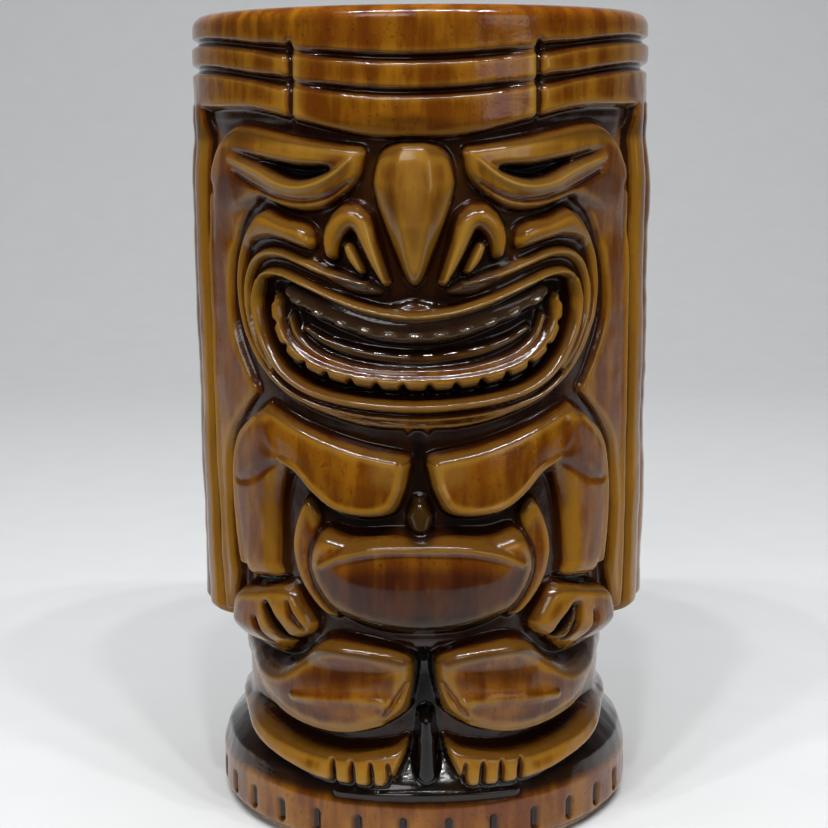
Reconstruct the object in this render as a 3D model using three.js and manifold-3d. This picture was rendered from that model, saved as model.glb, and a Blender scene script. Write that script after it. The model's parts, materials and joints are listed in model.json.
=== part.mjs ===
// A carved figure mug: a slip-cast cup with a grimacing figure modelled on its outside.
// Millimetres, +Z up, the foot on z = 0, the mug's axis on the Z axis, the figure facing -Y.
import * as THREE from "three";
import { ParametricGeometry } from "three/addons/geometries/ParametricGeometry.js";
import { mergeVertices } from "three/addons/utils/BufferGeometryUtils.js";
import Module from "manifold-3d";

const wasm = await Module();
wasm.setup();

// Overall sizes
const HEIGHT = 155;
const WALL_RADIUS = 38.7; // outside of the cup at the hair's lower ends
const WALL = 4.9;
const FIT = 0.3; // gap between each applied piece and what carries it

// The cup
const DRAFT = 0.7; // the cup widens this much from there to the brow
const WAIST_INSET = 3.7; // the cup is this much slimmer below the hair
const BAND_STEP = 2.1; // and this much wider behind the headband
const MOUTH_WALL = 2.5; // cup wall inside the rim
const FLOOR = 5.8;

// How far the applied pieces stand out from the cup
const HAIR_RISE = 4.2;
const BAND_RISE = 2.1;
const ROOT = 1.5; // how far a piece is drawn into the cup before its back is cut to fit

// Foot and plinth
const FOOT_HEIGHT = 0.9;
const PLINTH_RADIUS = WALL_RADIUS + 2.7;
const PLINTH_HEIGHT = 9.3;
const PLINTH_SLOPE = 5.3;
const NOTCHES = 30;

// The figure is drawn on a flat sheet that is wrapped around the cup:
// u runs to the right from the figure's middle line, z runs up from the foot.
const SHEET_RADIUS = 41;
const SHEET_HEIGHT = 153.2;
const LEAN_TOP = -1; // degrees the figure is turned at the brow
const LEAN_FOOT = 0.3; // and at the feet

// Levels on the sheet
const HEM = 38.5;
const BROW = 134.4;
const BAND_TOP = 144.1;
const BAND_MIDDLE = 138.4;
const BAND_SAG = 3.9; // the headband dips this far over the nose
const SAG_REACH = 50;
const GROOVE = 0.45; // half the width of a carved line

const ROUND_STEPS = 56;
const SECTION_STEPS = 8;
const END_STEPS = 2;

const AMBER = { color: 0x8a5c1c, roughness: 0.16, metalness: 0 };
const BROWN = { color: 0x5e3a1c, roughness: 0.16, metalness: 0 };
const DARK = { color: 0x2a1410, roughness: 0.14, metalness: 0 };
const CLAY = { color: 0xc8a582, roughness: 0.85, metalness: 0 };

const toUp = (z) => (z * HEIGHT) / SHEET_HEIGHT;
const sag = (u) => BAND_SAG * THREE.MathUtils.smoothstep(Math.abs(u), 0, SAG_REACH);
const mirrored = (spine) => spine.map(([u, z, half]) => [-u, z, half]);
const bothSides = (half) => [...mirrored(half).reverse(), ...half.slice(1)];

// Top of the cup's wall, which the rim caps.
const shoulder = toUp(BAND_TOP + BAND_SAG + 1.3);

// Outside radius of the cup at a height on the sheet.
function wallRadius(z) {
  const waist = WAIST_INSET * (1 - THREE.MathUtils.smoothstep(z, HEM - 3, HEM + 3));
  const draft = DRAFT * THREE.MathUtils.clamp(THREE.MathUtils.inverseLerp(HEM, BROW, z), 0, 1);
  const band = BAND_STEP * THREE.MathUtils.smoothstep(z, BROW - 5, BROW);
  return WALL_RADIUS - waist + draft + band;
}

// A point of the sheet, standing a given distance out from the cup.
function onCup(u, z, out) {
  const lean = THREE.MathUtils.mapLinear(z, 20, BROW, LEAN_FOOT, LEAN_TOP);
  const turn = u / SHEET_RADIUS + THREE.MathUtils.degToRad(THREE.MathUtils.clamp(lean, LEAN_TOP, LEAN_FOOT));
  const radius = wallRadius(z) + FIT + out;
  return new THREE.Vector3(radius * Math.sin(turn), -radius * Math.cos(turn), toUp(z));
}

// A closed three.js geometry as a solid that can be joined and cut.
function solidOf(geometry) {
  const bare = geometry.clone();
  bare.deleteAttribute("normal");
  bare.deleteAttribute("uv");
  const merged = mergeVertices(bare, 1e-4);
  const index = merged.index.array;
  const triangles = [];
  for (let i = 0; i < index.length; i += 3) {
    const [a, b, c] = [index[i], index[i + 1], index[i + 2]];
    if (a !== b && b !== c && c !== a) triangles.push(a, b, c);
  }
  return new wasm.Manifold(
    new wasm.Mesh({
      numProp: 3,
      vertProperties: new Float32Array(merged.attributes.position.array),
      triVerts: new Uint32Array(triangles),
    }),
  );
}

const join = (solids) => solids.reduce((all, solid) => all.add(solid));

// A ring or disc turned about the mug's axis from its section, [radius, height] pairs.
function lathe(section) {
  const points = section.map(([r, z]) => new THREE.Vector2(r, z));
  if (section[0][0] > 0) points.push(points[0].clone());
  return new THREE.LatheGeometry(points, ROUND_STEPS).rotateX(Math.PI / 2);
}

const turned = (section) => solidOf(lathe(section));

// A strip of clay along a spine of [u, z, half width] points, rounded across and at its ends.
// Beads make it a row of lumps; flutes cut vees along a wide, flat one.
function strip(spine, { rise, sink = ROOT, grow = 0, ends = 1, steps = 3, beads = 0, flutes = 0 }) {
  const curve = new THREE.CatmullRomCurve3(spine.map(([u, z, half]) => new THREE.Vector3(u, z, half)));
  const end = (ends * (spine[0][2] + spine.at(-1)[2])) / 2 / curve.getLength();
  const along = beads ? beads * 2 : steps + 2 * END_STEPS;
  const across = flutes ? flutes * 4 : SECTION_STEPS;
  const outline = (v, w, target) => {
    const station = Math.min(w, 1 - w) * along;
    const curl = (Math.min(station / END_STEPS, 1) * Math.PI) / 2;
    const pastEnd = (station - END_STEPS) / steps;
    const fromEnd = pastEnd < 0 ? end * (1 - Math.cos(curl)) : end + pastEnd * (1 - 2 * end);
    const t = beads ? w : w < 0.5 ? fromEnd : 1 - fromEnd;
    const point = curve.getPointAt(t);
    const tangent = curve.getTangentAt(t).setZ(0).normalize();
    const bead = beads ? 0.7 + 0.3 * Math.abs(Math.sin(Math.PI * beads * t)) : 1;
    const taper = Math.sin(curl);
    const turn = v % 1;
    const side = -Math.cos(2 * Math.PI * turn);
    const lift = Math.sin(2 * Math.PI * turn);
    const spread = flutes ? 1 - 4 * Math.abs(0.5 - turn) : Math.sign(side) * Math.abs(side) ** 0.6;
    const vee = flutes && Math.round(turn * across) % 2 === 0 ? 0.7 : 1;
    const crown = Math.sign(lift) * (flutes ? Math.min(1, Math.abs(lift) * 20) : Math.abs(lift) ** 0.5);
    const reach = (point.z * bead + grow) * taper * spread;
    const height = crown > 0 ? (rise + grow) * bead * vee * taper * crown : sink * taper * crown;
    target.copy(onCup(point.x + tangent.y * reach, point.y - tangent.x * reach, height));
  };
  return solidOf(new ParametricGeometry(outline, across, along));
}

// Outside of the cup as [radius, height] pairs, moved out by a clearance.
function cupOutside(clear) {
  const levels = [HEM - 3, HEM - 1, HEM + 1, HEM + 3, BROW - 5, BROW - 2.5, BROW];
  return levels.map((z) => [wallRadius(z) + clear, toUp(z)]);
}

// Everything inside the applied pieces' seats: it cuts their backs to the cup's curve.
function cupCore() {
  const seat = cupOutside(FIT);
  const under = [seat[0][0], -HEIGHT];
  const over = [seat.at(-1)[0], 2 * HEIGHT];
  return turned([[0, -HEIGHT], under, ...seat, over, [0, 2 * HEIGHT]]);
}

const group = new THREE.Group();
const core = cupCore();
let taken = null;

function addMesh(name, look, solid) {
  const { vertProperties, triVerts } = solid.getMesh();
  const geometry = new THREE.BufferGeometry();
  geometry.setAttribute("position", new THREE.BufferAttribute(new Float32Array(vertProperties), 3));
  geometry.setIndex(new THREE.BufferAttribute(new Uint32Array(triVerts), 1));
  geometry.computeVertexNormals();
  const mesh = new THREE.Mesh(geometry, new THREE.MeshStandardMaterial(look));
  mesh.name = name;
  group.add(mesh);
}

const largest = (solid) => solid.decompose().reduce((a, b) => (a.volume() > b.volume() ? a : b));

// Applies strips to the cup as one piece, cut back from the cup and from every piece already there.
function apply(name, look, strips) {
  const body = join(strips.map(([spine, size]) => strip(spine, size))).subtract(core);
  const wider = { grow: FIT, beads: 0 };
  const room = join(strips.map(([spine, size]) => strip(spine, { ...size, ...wider, rise: size.rise + 4 })));
  addMesh(name, look, largest(taken ? body.subtract(taken) : body));
  taken = taken ? taken.add(room) : room;
}

function applyPair(name, look, strips) {
  apply(name + "_right", look, strips);
  const other = strips.map(([spine, size]) => [mirrored(spine), size]);
  apply(name + "_left", look, other);
}

// The drinking vessel: outside wall, rounded floor and a mouth that opens under the rim.
function addCup() {
  const inner = WALL_RADIUS - WALL;
  const waist = inner - WAIST_INSET;
  const mouth = wallRadius(BROW) - MOUTH_WALL;
  const base = FOOT_HEIGHT + FIT;
  const floor = base + FLOOR;
  const outside = cupOutside(0);
  const section = [
    [0, base],
    [outside[0][0], base],
    ...outside,
    [outside.at(-1)[0], shoulder],
    [mouth, shoulder],
    [mouth - 1.2, toUp(BROW)],
    [inner, toUp(BROW - 14)],
    [inner, toUp(HEM + 3)],
    [waist, toUp(HEM - 4)],
    [waist, floor + 7],
    [waist - 2, floor + 2],
    [waist - 7, floor],
    [0, floor],
  ];
  addMesh("cup", BROWN, turned(section));
}

// The rounded lip, which caps the wall and laps down over it to follow the sagging headband.
function addRim() {
  const mouth = wallRadius(BROW) - MOUTH_WALL;
  const seat = wallRadius(BROW) + FIT;
  const outer = seat + BAND_RISE;
  const lip = (outer - mouth) / 2;
  const section = [[seat, 0], [outer, 0], [outer, HEIGHT - lip]]; // the skirt's lower edge is moved below
  for (let i = 1; i < 6; i += 1) {
    const angle = (Math.PI * i) / 6;
    section.push([mouth + lip + lip * Math.cos(angle), HEIGHT - lip + lip * Math.sin(angle)]);
  }
  section.push([mouth, HEIGHT - lip], [mouth, shoulder + FIT], [seat, shoulder + FIT]);
  const geometry = lathe(section);
  const { position } = geometry.attributes;
  for (let i = 0; i < position.count; i += 1) {
    if (position.getZ(i) > shoulder / 2) continue;
    const turn = Math.atan2(position.getX(i), -position.getY(i)) - THREE.MathUtils.degToRad(LEAN_TOP);
    const u = Math.atan2(Math.sin(turn), Math.cos(turn)) * SHEET_RADIUS;
    position.setZ(i, toUp(BAND_TOP + GROOVE + sag(u)));
  }
  addMesh("rim", AMBER, solidOf(geometry));
}

// The headband: two sagging bands, each stitched into equal lengths around the head.
function addHeadband() {
  const brow = (u) => BROW + 0.5 - BAND_SAG * (1 - THREE.MathUtils.smoothstep(Math.abs(u), 5, 38));
  const middle = (u) => BAND_MIDDLE + 1.2 * sag(u);
  const top = (u) => BAND_TOP + sag(u);
  const around = 2 * Math.PI * SHEET_RADIUS;
  const places = ["front", "right", "right_back", "back", "left_back", "left"];
  places.forEach((place, i) => {
    const start = (i - 0.5) * (around / places.length) + GROOVE;
    const stop = start + around / places.length - 2 * GROOVE;
    for (const [name, low, high] of [["lower", brow, middle], ["upper", middle, top]]) {
      const spine = [];
      for (let k = 0; k <= 6; k += 1) {
        const u = THREE.MathUtils.lerp(start, stop, k / 6);
        const from = u > around / 2 ? u - around : u;
        const bottom = low(from) + GROOVE;
        const upper = high(from) - GROOVE;
        spine.push([u, (bottom + upper) / 2, (upper - bottom) / 2]);
      }
      apply("band_" + name + "_" + place, AMBER, [[spine, { rise: BAND_RISE, ends: 0.3, steps: 5 }]]);
    }
  });
}

// Long hair hanging from the headband on both sides of the face and round the back.
function addHair() {
  const edge = 0.375 * Math.PI * SHEET_RADIUS; // where the hair starts beside the face
  const half = (Math.PI * SHEET_RADIUS - edge) / 4;
  const lock = (centre) => [
    [centre, HEM, half - GROOVE],
    [centre, (HEM + BROW) / 2, half - GROOVE],
    [centre, BROW - GROOVE, half - GROOVE],
  ];
  const size = { rise: HAIR_RISE, ends: 0.15, steps: 2, flutes: 5 };
  applyPair("hair_side", BROWN, [[lock(edge + half), size]]);
  applyPair("hair_back", BROWN, [[lock(edge + 3 * half), size]]);
}

// Raised strips that frame the face and the body in front of the hair.
function addFaceSides() {
  const strand = [
    [46.2, 122.8, 1.2],
    [45, 115, 2.2],
    [44.6, 105, 2.3],
    [44.3, 95, 2.3],
    [44.6, 85, 2],
    [45.2, 76, 1.6],
    [45.4, 65, 1.5],
    [45, 55, 1.5],
    [43.9, 47, 1.5],
    [43, 41, 1.2],
  ];
  applyPair("face_side", AMBER, [[strand, { rise: 3.2, ends: 0.8, steps: 9 }]]);
}

function addEyes() {
  const upperLid = [
    [8.8, 127.2, 1.8],
    [17, 128.4, 2.4],
    [27, 129.9, 2.6],
    [38, 130.4, 2.4],
    [46, 127.6, 1.2],
  ];
  const lowerLid = [
    [9, 125.4, 1.3],
    [12.4, 121.6, 2.2],
    [18, 119.4, 2.4],
    [25, 120, 2.3],
    [33, 123.2, 1.9],
    [42, 127, 1.2],
  ];
  const eyeball = [[11, 125, 2.2], [20, 124.6, 3.5], [30, 126.3, 3], [40, 128.4, 1.6]];
  applyPair("eyelid", AMBER, [
    [upperLid, { rise: 5, steps: 5 }],
    [lowerLid, { rise: 5, steps: 6 }],
    [eyeball, { rise: 3.2 }],
  ]);
}

function addNose() {
  const ridge = [
    [0, 130.2, 2.8],
    [0, 127, 5.2],
    [0, 122.5, 6.4],
    [0, 118, 5.6],
    [0, 113, 3.7],
    [0, 109, 2],
    [0, 105.6, 0.8],
  ];
  const arch = [
    [4.8, 106.4, 0.8],
    [5.9, 110.5, 1.4],
    [7.4, 114.5, 1.8],
    [9.4, 117.2, 2],
    [12, 116.4, 2.1],
    [13.8, 113.4, 2.1],
    [13.6, 110, 1.5],
  ];
  const bead = [[9.4, 108.6, 1.1], [10, 110.8, 1.5], [10.6, 112.8, 1.1]];
  const web = [[9.6, 109.5, 3.2], [10.5, 113.5, 3.6]];
  apply("nose", AMBER, [[ridge, { rise: 7.5, ends: 0.7, steps: 6 }]]);
  applyPair("nostril", AMBER, [
    [arch, { rise: 6, steps: 7 }],
    [bead, { rise: 5 }],
    [web, { rise: 3, steps: 2 }],
  ]);
}

function addMouth() {
  const upperLip = [[0, 101, 1.4], [11, 102.4, 1.4], [20, 105.2, 1.3], [27.6, 107.8, 1]];
  const upperGum = [[0, 97.4, 2.1], [9, 98.2, 2], [17, 100.4, 1.8], [23.5, 103.4, 1.3]];
  const upperTeeth = [[0, 97, 1.2], [9, 97.8, 1.2], [17, 100, 1.1], [23, 103, 0.9]];
  const tongue = [[0, 92.8, 2.8], [9, 93.8, 2.5], [16, 96, 1.7], [20.5, 98.6, 0.9]];
  const teeth = [
    [0, 88.2, 1.8],
    [9.5, 88.6, 1.8],
    [17.5, 89.8, 1.7],
    [22.6, 92.9, 1.6],
    [24.6, 97.5, 1.4],
    [24.6, 101, 1.2],
  ];
  const lowerLip = [
    [0, 84.8, 1.3],
    [9.5, 85.4, 1.3],
    [18.5, 87.1, 1.3],
    [25, 91.5, 1.3],
    [27.8, 98, 1.2],
    [27.4, 104.6, 0.9],
  ];
  apply("teeth_lower", AMBER, [[bothSides(teeth), { rise: 4.6, steps: 15, beads: 15 }]]);
  apply("teeth_upper", AMBER, [[bothSides(upperTeeth), { rise: 4.4, steps: 10, beads: 13 }]]);
  apply("tongue", DARK, [[bothSides(tongue), { rise: 2.6, steps: 8 }]]);
  apply("lip_upper", AMBER, [
    [bothSides(upperLip), { rise: 6, steps: 10 }],
    [bothSides(upperGum), { rise: 3.2, steps: 10 }],
  ]);
  apply("lip_lower", AMBER, [[bothSides(lowerLip), { rise: 5.6, steps: 18 }]]);
}

// Cheeks that sweep from the nostrils round the mouth and meet as the chin.
function addCheeks() {
  const sweep = [
    [15.8, 108.6, 1.8],
    [20, 111.2, 3.8],
    [27, 111.6, 5],
    [33, 105.5, 4.6],
    [33.4, 97.5, 4.2],
    [29.4, 89.8, 3.4],
    [21, 84.4, 2.8],
    [11, 82, 2.5],
    [1.2, 81.3, 2.4],
  ];
  applyPair("cheek", AMBER, [[sweep, { rise: 5, ends: 0.5, steps: 12 }]]);
}

function addTorso() {
  const breast = [
    [2.4, 73.5, 2.4],
    [7, 71, 6.2],
    [13, 71.4, 6.6],
    [19, 73.6, 5.8],
    [25, 76.6, 4.4],
    [31, 79, 3],
  ];
  const arm = [
    [28, 79.4, 2.4],
    [34.5, 76, 4.8],
    [36, 69.5, 6],
    [35, 62, 6.4],
    [34.2, 56, 5.6],
    [33, 52, 4.4],
  ];
  applyPair("chest_arm", AMBER, [
    [breast, { rise: 6, ends: 0.8, steps: 5 }],
    [arm, { rise: 4.8, ends: 0.5, steps: 5 }],
  ]);
  apply("breastbone", DARK, [[[[0, 66.8, 1.6], [0, 64, 2.6], [0, 61.8, 2]], { rise: 4.5 }]]);
  applyPair("hand", AMBER, [
    [[[23.6, 41.6, 1.6], [27.4, 44.6, 2], [32, 47, 1.8]], { rise: 5.4 }],
    [[[27.8, 38.4, 1.7], [31.2, 41.8, 2], [35.4, 44.8, 1.8]], { rise: 5.4 }],
    [[[32.6, 36.6, 1.7], [35.8, 39.4, 1.9], [39.4, 42.2, 1.7]], { rise: 5 }],
    [[[27, 41.4, 2.6], [33, 42.8, 5.2], [40, 41.8, 4]], { rise: 3.6 }],
  ]);
  const belly = [[0, 51.5, 10.4], [10, 51.5, 9.8], [19.5, 51.5, 6]];
  const apron = [[0, 51.6, 10.6], [12, 51.6, 10], [23.6, 51.6, 6.5]];
  apply("belly", BROWN, [
    [bothSides(belly), { rise: 7, steps: 6 }],
    [bothSides(apron), { rise: 3, ends: 0.6, steps: 6 }],
  ]);
}

function addLegs() {
  const thigh = [
    [2.8, 35, 4],
    [8, 32.6, 8.2],
    [14, 32, 8.8],
    [22, 31.2, 7.2],
    [30, 30.6, 5],
    [38, 31.6, 3.6],
    [44, 32.6, 2.4],
  ];
  const toe = (u) => [[u, 21.4, 1.5], [u, 18, 1.8], [u, 14.8, 1.7]];
  const toes = [6.4, 10.6, 14.8, 19].map((u) => [toe(u), { rise: 8, steps: 2 }]);
  const instep = [[5, 18.2, 2.6], [12, 18, 3.4], [20, 17.6, 4]];
  const outside = [[17, 17.4, 3.8], [26, 18.6, 3.8], [34, 21.6, 3.4], [42, 24.4, 2.4], [48, 26, 1.4]];
  const post = [[0, 25.4, 1.8], [0, 20, 2.6], [0, 15.4, 2.8]];
  const step = [[-17, 12.2, 1.2], [-8, 12.5, 1.8], [0, 12.6, 2], [8, 12.5, 1.8], [17, 12.2, 1.2]];
  applyPair("thigh", BROWN, [[thigh, { rise: 8.3, steps: 6 }]]);
  applyPair("foot", AMBER, [
    ...toes,
    [instep, { rise: 6.4, ends: 0.6, steps: 2 }],
    [outside, { rise: 6.8, ends: 0.6, steps: 5 }],
  ]);
  apply("post", DARK, [[post, { rise: 5.6 }]]);
  apply("step", DARK, [[step, { rise: 5.8, steps: 6 }]]);
}

// The base moulding: a carved upright band with a slope up to the cup, notched all round.
function addPlinth() {
  const seat = wallRadius(0) + FIT;
  const top = toUp(PLINTH_HEIGHT);
  const slope = toUp(PLINTH_SLOPE);
  const ring = turned([
    [seat, FOOT_HEIGHT + FIT],
    [PLINTH_RADIUS - 0.6, FOOT_HEIGHT + FIT],
    [PLINTH_RADIUS, FOOT_HEIGHT + FIT + 0.8],
    [PLINTH_RADIUS, top - 1],
    [PLINTH_RADIUS - 0.6, top],
    [PLINTH_RADIUS - 2, top + slope / 3],
    [seat + 0.6, top + slope],
    [seat, top + slope],
  ]);
  const tall = top - 5;
  const notches = [];
  for (let i = 0; i < NOTCHES; i += 1) {
    const notch = new THREE.BoxGeometry(1.4, 1.6, tall);
    notch.rotateZ(Math.PI / 4);
    notch.translate(0, -PLINTH_RADIUS - 0.4, FOOT_HEIGHT + FIT + 1.6 + tall / 2);
    notch.rotateZ((2 * Math.PI * (i + 0.5)) / NOTCHES);
    notches.push(solidOf(notch));
  }
  addMesh("plinth", AMBER, largest(ring.subtract(join(notches)).subtract(taken)));
}

// The bare clay underside, one flat face that the mug stands on.
function addBase() {
  const edge = PLINTH_RADIUS - 2;
  addMesh("base", CLAY, turned([
    [0, 0],
    [edge - 0.3, 0],
    [edge, 0.3],
    [edge, FOOT_HEIGHT],
    [0, FOOT_HEIGHT],
  ]));
}

addCup();
addHeadband();
addRim();
addHair();
addFaceSides();
addNose();
addEyes();
addMouth();
addCheeks();
addTorso();
addLegs();
addPlinth();
addBase();

export default group;
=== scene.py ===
"""A glazed cup with a carved grimacing figure on its outside, modelled as one skin of clay.

The outside is a sheet wrapped round the cup: u runs to the right from the figure's middle line and z runs
up from the table, both in millimetres. Masses, strands and cuts are pressed into the sheet one after
another, and the finished skin is cut into one closed piece for each part of the figure.
"""
import json
import math
import bpy
import numpy as np
from mathutils import Matrix, Vector


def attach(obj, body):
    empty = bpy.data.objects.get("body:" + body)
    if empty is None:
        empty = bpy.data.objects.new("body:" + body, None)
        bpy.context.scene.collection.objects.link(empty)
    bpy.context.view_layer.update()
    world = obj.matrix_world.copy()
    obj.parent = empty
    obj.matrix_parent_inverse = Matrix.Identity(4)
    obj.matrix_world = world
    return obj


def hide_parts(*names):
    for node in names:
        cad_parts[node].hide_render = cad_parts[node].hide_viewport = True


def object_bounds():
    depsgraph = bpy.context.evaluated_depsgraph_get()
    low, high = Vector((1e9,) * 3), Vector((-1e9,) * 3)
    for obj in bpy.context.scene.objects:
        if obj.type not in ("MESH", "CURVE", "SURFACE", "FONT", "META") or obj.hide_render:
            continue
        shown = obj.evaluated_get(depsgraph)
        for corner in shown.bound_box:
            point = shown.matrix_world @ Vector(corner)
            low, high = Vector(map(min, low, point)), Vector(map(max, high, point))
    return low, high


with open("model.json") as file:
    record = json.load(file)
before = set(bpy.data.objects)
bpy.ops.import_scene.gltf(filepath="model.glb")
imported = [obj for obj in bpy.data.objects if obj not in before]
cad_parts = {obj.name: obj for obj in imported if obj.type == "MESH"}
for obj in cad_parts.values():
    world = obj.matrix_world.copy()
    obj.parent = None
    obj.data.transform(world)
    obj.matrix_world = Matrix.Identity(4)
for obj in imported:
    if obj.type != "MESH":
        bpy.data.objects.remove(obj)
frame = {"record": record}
cad_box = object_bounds()

MM = 0.001
HEIGHT = cad_box[1][2] / MM
ROLLED = 41.0                # radius that the sheet is measured at
AROUND = 2 * math.pi * ROLLED
SHEET_HEIGHT = 153.2         # the figure is laid out on a sheet of this height
STRETCH = HEIGHT / SHEET_HEIGHT
WALL, DRAFT, WAIST_INSET, BAND_STEP = 38.7, 0.7, 3.7, 2.1
FIT = 0.3                    # the skin stands this far off the plain cup
GRID = 0.3                   # the sheet's spacing where it is finely modelled
SHEET_FOOT = 1.2             # the sheet starts this far above the table
LIP_CROWN = 2.45             # and ends this far under the top of the rim
HEM = 38.5                   # lower ends of the hair
BROW = 134.4
BAND_TOP, BAND_MIDDLE, BAND_SAG, SAG_REACH = 144.1, 138.4, 3.9, 50
PLINTH, PLINTH_TOP, NOTCHES = 41.4, 9.4, 30
SLOPE_TOP = 19.6             # where the plinth's slope meets the cup
FLAT_FRONT = 53.0            # the finely modelled part of the sheet on each side
AXIS_GAP = 0.05              # radius left open where a turned piece meets the cup's axis
BROWN_INSIDE = 0.55          # share of brown in the glaze inside the cup


def smooth(x, a, b):
    t = np.clip((x - a) / (b - a), 0, 1)
    return t * t * (3 - 2 * t)


def softer_max(a, b, blend):
    h = np.clip(0.5 + (b - a) / (2 * blend), 0, 1)
    return a + (b - a) * h + blend * h * (1 - h)


def wall_radius(z):
    """Outside of the plain cup at a height on the sheet."""
    draft = DRAFT * np.clip((z - HEM) / (BROW - HEM), 0, 1)
    step = BAND_STEP * smooth(z, BROW - 5, BROW)
    return WALL - WAIST_INSET * (1 - smooth(z, HEM - 3, HEM + 3)) + draft + step


def sag(u):
    return BAND_SAG * smooth(np.abs(u), 0, SAG_REACH)


def flowing(points, step=1.2, closed=False):
    """A smooth line through the points (u, z and any widths), sampled about every step millimetres."""
    p = np.array(points, float)
    if closed:
        ring = np.vstack([p[-1:], p, p[:2]])
    else:
        ring = np.vstack([2 * p[:1] - p[1:2], p, 2 * p[-1:] - p[-2:-1]])
    out = []
    for i in range(1, len(ring) - 2):
        a, b, c, d = ring[i - 1:i + 3]
        n = max(2, int(np.hypot(*(c - b)[:2]) / step))
        t = (np.arange(n) / n)[:, None]
        out.append(0.5 * (2 * b + (c - a) * t + (2 * a - 5 * b + 4 * c - d) * t ** 2
                          + (3 * b - a - 3 * c + d) * t ** 3))
    return np.vstack(out + [p[:1] if closed else p[-1:]])


def both_sides(half):
    return [(-p[0],) + tuple(p[1:]) for p in half[:0:-1]] + [tuple(p) for p in half]


class Sheet:
    """The clay's outside: heights on a grid above the cup's wall, and the piece each point is part of."""

    def __init__(self):
        fine = np.arange(0, FLAT_FRONT, GRID)
        coarse = np.linspace(FLAT_FRONT, AROUND / 2, 125)
        half = np.concatenate([fine, coarse[:-1]])
        self.u = np.sort(np.concatenate([half, [AROUND / 2], -half[:0:-1]]))
        self.z = np.arange(SHEET_FOOT, SHEET_HEIGHT - LIP_CROWN, GRID)
        self.U, self.Z = np.meshgrid(self.u, self.z)
        self.rise = np.full(self.U.shape, 1.0)
        self.owner = np.zeros(self.U.shape, int)
        self.names = ["cup"]
        # Paints: a brown and a near-black for painted shade, a light tan for painted highlight and a grey for
        # painted sheen.
        self.paint = {key: np.zeros(self.U.shape) for key in ("brown", "painted_shade", "bright", "painted_sheen")}

    def number(self, name):
        if name not in self.names:
            self.names.append(name)
        return self.names.index(name)

    def window(self, side, line, margin):
        """The part of the grid round a line, and its u and z seen from that side."""
        u0, u1 = line[:, 0].min() - margin, line[:, 0].max() + margin
        if side < 0:
            u0, u1 = -u1, -u0
        cols = slice(*np.searchsorted(self.u, [u0, u1]))
        rows = slice(*np.searchsorted(self.z, [line[:, 1].min() - margin, line[:, 1].max() + margin]))
        return (rows, cols), side * self.U[rows, cols], self.Z[rows, cols]

    def near(self, side, spine, margin=0.8):
        """For points near a spine of (u, z, half width, ...): share of the half width out from it, which side
        of it they lie, and the spine's other values there."""
        line = flowing(spine)
        block, u, z = self.window(side, line, line[:, 2].max() + margin)
        best = np.full(u.shape, 1e9)
        out = np.full(u.shape, 9.0)
        hand = np.zeros(u.shape)
        extra = np.zeros(u.shape + (line.shape[1] - 2,))
        for a, b in zip(line[:-1], line[1:]):
            along = b[:2] - a[:2]
            t = np.clip(((u - a[0]) * along[0] + (z - a[1]) * along[1]) / max(along @ along, 1e-9), 0, 1)
            du, dz = u - a[0] - along[0] * t, z - a[1] - along[1] * t
            far = np.hypot(du, dz)
            width = a[2] + (b[2] - a[2]) * t
            closer = far - width < best
            best = np.where(closer, far - width, best)
            out = np.where(closer, far / width, out)
            hand = np.where(closer, (along[0] * dz - along[1] * du) / (np.hypot(*along) * width + 1e-9), hand)
            here = a[2:] + (b[2:] - a[2:]) * t[..., None]
            extra = np.where(closer[..., None], here, extra)
        return block, out, hand, extra

    def inside(self, side, outline, margin=0.8):
        """Depth of points inside a closed outline, in millimetres, and negative outside it."""
        line = flowing(outline, 1.5, closed=True)
        block, u, z = self.window(side, line, margin)
        far = np.full(u.shape, 1e9)
        crossings = np.zeros(u.shape, int)
        for a, b in zip(line[:-1], line[1:]):
            along = b - a
            t = np.clip(((u - a[0]) * along[0] + (z - a[1]) * along[1]) / max(along @ along, 1e-9), 0, 1)
            far = np.minimum(far, np.hypot(u - a[0] - along[0] * t, z - a[1] - along[1] * t))
            if a[1] != b[1]:
                spans = (a[1] <= z) != (b[1] <= z)
                crossings += spans & (u < a[0] + (z - a[1]) * along[0] / along[1])
        return block, np.where(crossings % 2 == 1, far, -far), u, z

    def press(self, block, height, name, blend=0.35):
        here = self.rise[block]
        if name:
            self.owner[block] = np.where(height > here, self.number(name), self.owner[block])
        self.rise[block] = np.where(height > here - 2 * blend, softer_max(here, height, blend), here)

    def mass(self, name, side, outline, rise, roll=1.5, crown=0.0, tilt=(0, 0), blend=0.35, full=2.0):
        """A lump inside an outline, rounded down over roll at its edge and swollen by crown at its middle.
        Tilt raises it along u and z from its middle."""
        block, depth, u, z = self.inside(side, outline)
        t = np.clip(depth / roll, 0, 1)
        edge = (1 - (1 - t) ** full) ** (1 / full)
        middle = np.array(outline, float)[:, :2].mean(0)
        lean = tilt[0] * (u - middle[0]) + tilt[1] * (z - middle[1])
        swell = crown * np.clip(depth / max(depth.max(), 1e-6), 0, 1) ** 0.6
        self.press(block, np.where(depth > 0, (rise + lean + swell) * edge, -9), name, blend)

    def strand(self, name, side, spine, rise, full=2.4, lean=0.0, blend=0.3):
        """A rounded strip along a spine; lean moves its crest towards its left edge, seen along the spine.
        A fourth value on the spine's points scales the rise."""
        block, out, hand, extra = self.near(side, spine)
        x = np.clip(out, 0, 1)
        top = (1 - x ** full) ** (1 / 2.0)
        shift = 1 + lean * np.clip(hand, -1, 1)
        scale = extra[..., 1] if extra.shape[-1] > 1 else 1.0
        self.press(block, np.where(out < 1, rise * scale * top * shift, -9), name, blend)

    def groove(self, side, spine, depth):
        block, out, _, _ = self.near(side, spine)
        self.rise[block] -= depth * np.clip(1 - out ** 2, 0, 1) ** 1.5

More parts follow.
